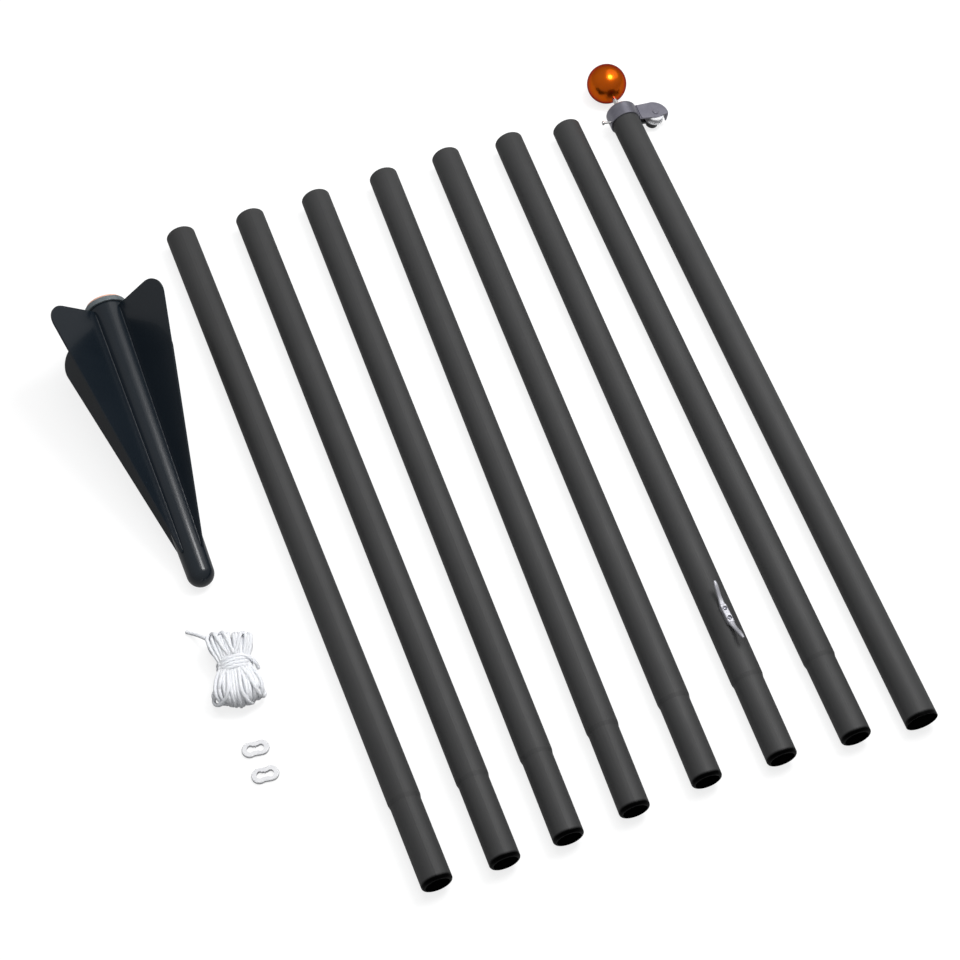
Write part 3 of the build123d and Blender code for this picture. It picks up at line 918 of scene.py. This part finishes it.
def foldPoints(upper, lower, end, outwards):
    # Control points of one fold: corners round a half circle from the upper run to the lower one
    middle = ((upper[0] + lower[0]) / 2, (upper[1] + lower[1]) / 2)
    half = ((upper[0] - lower[0]) / 2, (upper[1] - lower[1]) / 2)
    radius = math.hypot(*half)
    corners = halyard["foldCorners"]
    grow = 1 / math.cos(math.radians(90 / corners))
    points = []
    for step in range(corners):
        angle = math.radians((step + 0.5) * 180 / corners)
        points.append((
            middle[0] + half[0] * grow * math.cos(angle),
            outwards * (end - radius) + outwards * radius * grow * math.sin(angle),
            middle[1] + half[1] * grow * math.cos(angle),
        ))
    return points


def turnPoints(head, waist, foot, headReach, footReach):
    # One turn of the hank, from the waist's underside round the foot, over the top and round the head.
    # Each of head, waist and foot is a pair of spots (x, z): the upper run's and the lower run's
    waistPlace = halyard["waistPlace"]
    footPart, headPart = halyard["pullPlaces"]
    nearFoot, nearHead = waistPlace - footPart * footReach, waistPlace + headPart * headReach

    def run(spot, place):
        return (spot[0], place, spot[1])

    def pulled(start, end, place):
        return run([a + (b - a) * halyard["pull"] for a, b in zip(start, end)], place)

    points = [
        run(waist[1], waistPlace),
        pulled(waist[1], foot[1], nearFoot),
        *foldPoints(*foot, footReach, -1)[::-1],
        pulled(waist[0], foot[0], nearFoot),
        run(waist[0], waistPlace),
        pulled(waist[0], head[0], nearHead),
        *foldPoints(*head, headReach, 1),
        pulled(waist[1], head[1], nearHead),
    ]
    return [(x + halyard["lean"] * (y - waistPlace), y, z) for x, y, z in points]


def packedTurn(share, size, dice):
    width, rise = halyard[size + "Width"], halyard[size + "Rise"]
    waist = [runSpot(share, top, *halyard[size + "Waist"]) for top in (True, False)]
    ends = []
    for _ in range(2):
        moved = share + dice.uniform(-halyard["shuffle"], halyard["shuffle"])
        ends.append([runSpot(moved, top, width, rise) for top in (True, False)])
    headMiddle, headSlope = halyard["headReach"]
    footMiddle, footRounding = halyard["footReach"]
    inset = halyard["innerInset"] if size == "inner" else 0
    reaches = [
        reach - inset - dice.uniform(0, halyard["looseness"])
        for reach in (headMiddle + headSlope * share, footMiddle + footRounding * share ** 2)
    ]
    return turnPoints(ends[0], waist, ends[1], *reaches)


def looseTurn(shares):
    headTop, waist, footTop, headLow, footLow, headReach, footReach = shares
    width, rise = halyard["outerWidth"], halyard["outerRise"]
    above, low = halyard["looseRise"], halyard["middleHeight"] - halyard["looseDrop"] * rise
    return turnPoints(
        [runSpot(headTop, True, width, above), (headLow * width, low)],
        [runSpot(waist, top, *halyard["outerWaist"]) for top in (True, False)],
        [runSpot(footTop, True, width, above), (footLow * width, low)],
        headReach, footReach,
    )


def wrapPoints():
    # Turns round the waist from the head's side on, over the top first and down the left side
    points = []
    perTurn = halyard["wrapPoints"]
    start, past = halyard["wrapEnds"]
    grow = 1 / math.cos(math.pi / perTurn)
    first = halyard["waistPlace"] - halyard["wrapStep"] * halyard["wrapCount"] / 2
    for step in range(start, perTurn * halyard["wrapCount"] + past):
        angle = 2 * math.pi * step / perTurn
        x = halyard["wrapHalfWidth"] * math.cos(angle)
        points.append((
            grow * x,
            first + halyard["wrapStep"] * (step - start) / perTurn + halyard["wrapSkew"] * x,
            halyard["middleHeight"] + halyard["wrapHalfHeight"] * grow * math.sin(angle),
        ))
    return points


def halyardRoute():
    # Tied end, turns of the hank from the right to the left inside and back outside, loose loops, free end
    dice = random.Random(halyard["seed"])
    outermost = halyard["outermost"]
    turns = []
    for size, way in (("inner", -1), ("outer", 1)):
        count = halyard[size + "Loops"]
        for number in range(count):
            share = -outermost + 2 * outermost * number / (count - 1)
            turns.append(packedTurn(way * share, size, dice))
    turns += [looseTurn(shares) for shares in halyard["looseLoops"]]
    turns[0] = turns[0][2:]  # the tuck leads past the waist
    turns[-1] = turns[-1][:-6]  # stops short of its fold at the head
    loops = [point for turn in turns for point in turn]
    return halyard["tail"] + wrapPoints() + halyard["tuckIn"] + loops + halyard["freeEnd"]


def centreline(name, route):
    # The route as one NURBS spline, and the points that Blender reads from it
    curve = bpy.data.curves.new(name, "CURVE")
    curve.dimensions = "3D"
    spline = curve.splines.new("NURBS")
    spline.points.add(len(route) - 1)
    for point, place in zip(spline.points, route):
        point.co = (*inHank(place), 1)
    spline.order_u = 3
    spline.use_endpoint_u = True
    spline.resolution_u = halyard["smoothness"]
    holder = addToScene(bpy.data.objects.new(name, curve))
    bpy.context.view_layer.update()
    mesh = bpy.data.meshes.new_from_object(holder)
    points = []
    for vertex in mesh.vertices:
        if not points or (vertex.co - points[-1]).length > halyard["leastStep"] * mm:
            points.append(vertex.co.copy())
    bpy.data.objects.remove(holder)
    bpy.data.meshes.remove(mesh)
    return points


def ropeMesh(name, points, radius):
    # A round tube along the points with a braided skin; its UVs run round it and along its lay
    sides = halyard["sides"]
    rise = halyard["carrierRise"] * mm
    lay = halyard["lay"] * mm
    vertices, along = [], []
    ahead = (points[1] - points[0]).normalized()
    side = ahead.orthogonal().normalized()
    gone = 0.0
    for count, point in enumerate(points):
        after = points[min(count + 1, len(points) - 1)]
        before = points[max(count - 1, 0)]
        direction = (after - before).normalized()
        side = (side - direction * side.dot(direction)).normalized()
        across = direction.cross(side)
        if count:
            gone += (point - before).length
        along.append(gone / lay)
        for step in range(sides):
            angle = 2 * math.pi * step / sides
            phase = halyard["carriers"] * angle
            swell = max(math.cos(phase + way * 2 * math.pi * gone / lay) for way in (1, -1))
            reach = radius - rise + rise * swell
            vertices.append(point + (side * math.cos(angle) + across * math.sin(angle)) * reach)
    faces, spots = [], []
    for count in range(len(points) - 1):
        here, there = along[count], along[count + 1]
        faces += bandFaces(count * sides, (count + 1) * sides, sides)
        for step in range(sides):
            first, second = step / sides, (step + 1) / sides
            spots += [(first, here), (second, here), (second, there), (first, there)]
    for ring, tip, sense in ((0, points[0], -1), (len(points) - 1, points[-1], 1)):
        # The cut ends are melted into a low dome
        forward = (points[1] - points[0] if ring == 0 else points[-1] - points[-2]).normalized() * sense
        centre = len(vertices)
        vertices.append(tip + forward * radius * halyard["dome"])
        for step in range(sides):
            pair = (ring * sides + step, ring * sides + (step + 1) % sides)
            faces.append((centre, *(pair if sense > 0 else pair[::-1])))
            spots += [(0.5, along[ring]), (step / sides, along[ring]), ((step + 1) / sides, along[ring])]
    mesh = smoothMesh(name, vertices, faces)
    layer = mesh.uv_layers.new(name="ropeLay")
    for loop, spot in zip(layer.data, spots):
        loop.uv = spot
    return addToScene(bpy.data.objects.new(name, mesh))


ropeLook = {
    "colour": (0.87, 0.88, 0.91),
    # the next colour is painted shade in the grooves between the strands
    "grooveShadeColour": (0.80, 0.81, 0.84),
    "roughness": 0.85,
    "specular": 0.2,
    "sheen": 0.15,
    "fuzz": 1400.0,
    "relief": 0.12,
    "softness": 0.5,  # how much light goes through the fibres
    "softDepth": 2.5,
}


def ropeFinish():
    material = bpy.data.materials.new("whiteRope")
    material.use_nodes = True
    tree = material.node_tree
    bsdf = tree.nodes["Principled BSDF"]
    braid = groupNode(tree, ropeBraid, (-700, 100), Carriers=halyard["carriers"], Fuzz=ropeLook["fuzz"])
    # Painted shade: the colour darkens in the braid's grooves, after its Shade mask
    tone = mixColours(tree, (-420, 200), ropeLook["grooveShadeColour"], ropeLook["colour"])
    bump = newNode(tree, "ShaderNodeBump", (-420, -120))
    bump.inputs["Distance"].default_value = ropeLook["relief"] * mm
    tree.links.new(braid.outputs["Shade"], tone.inputs["Factor"])
    tree.links.new(tone.outputs["Result"], bsdf.inputs["Base Color"])
    tree.links.new(braid.outputs["Height"], bump.inputs["Height"])
    tree.links.new(bump.outputs[0], bsdf.inputs["Normal"])
    bsdf.inputs["Roughness"].default_value = ropeLook["roughness"]
    bsdf.inputs["Specular IOR Level"].default_value = ropeLook["specular"]
    bsdf.inputs["Sheen Weight"].default_value = ropeLook["sheen"]
    bsdf.inputs["Subsurface Weight"].default_value = ropeLook["softness"]
    bsdf.inputs["Subsurface Radius"].default_value = (1.0, 1.0, 1.0)
    bsdf.inputs["Subsurface Scale"].default_value = ropeLook["softDepth"] * mm
    return material


ropeLine = centreline("halyardLine", halyardRoute())
rope = ropeMesh("halyardRope", ropeLine, halyard["ropeWidth"] / 2 * mm)
rope.data.materials.append(ropeFinish())
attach(rope, "root")
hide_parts("halyard_hank", "halyard_end")
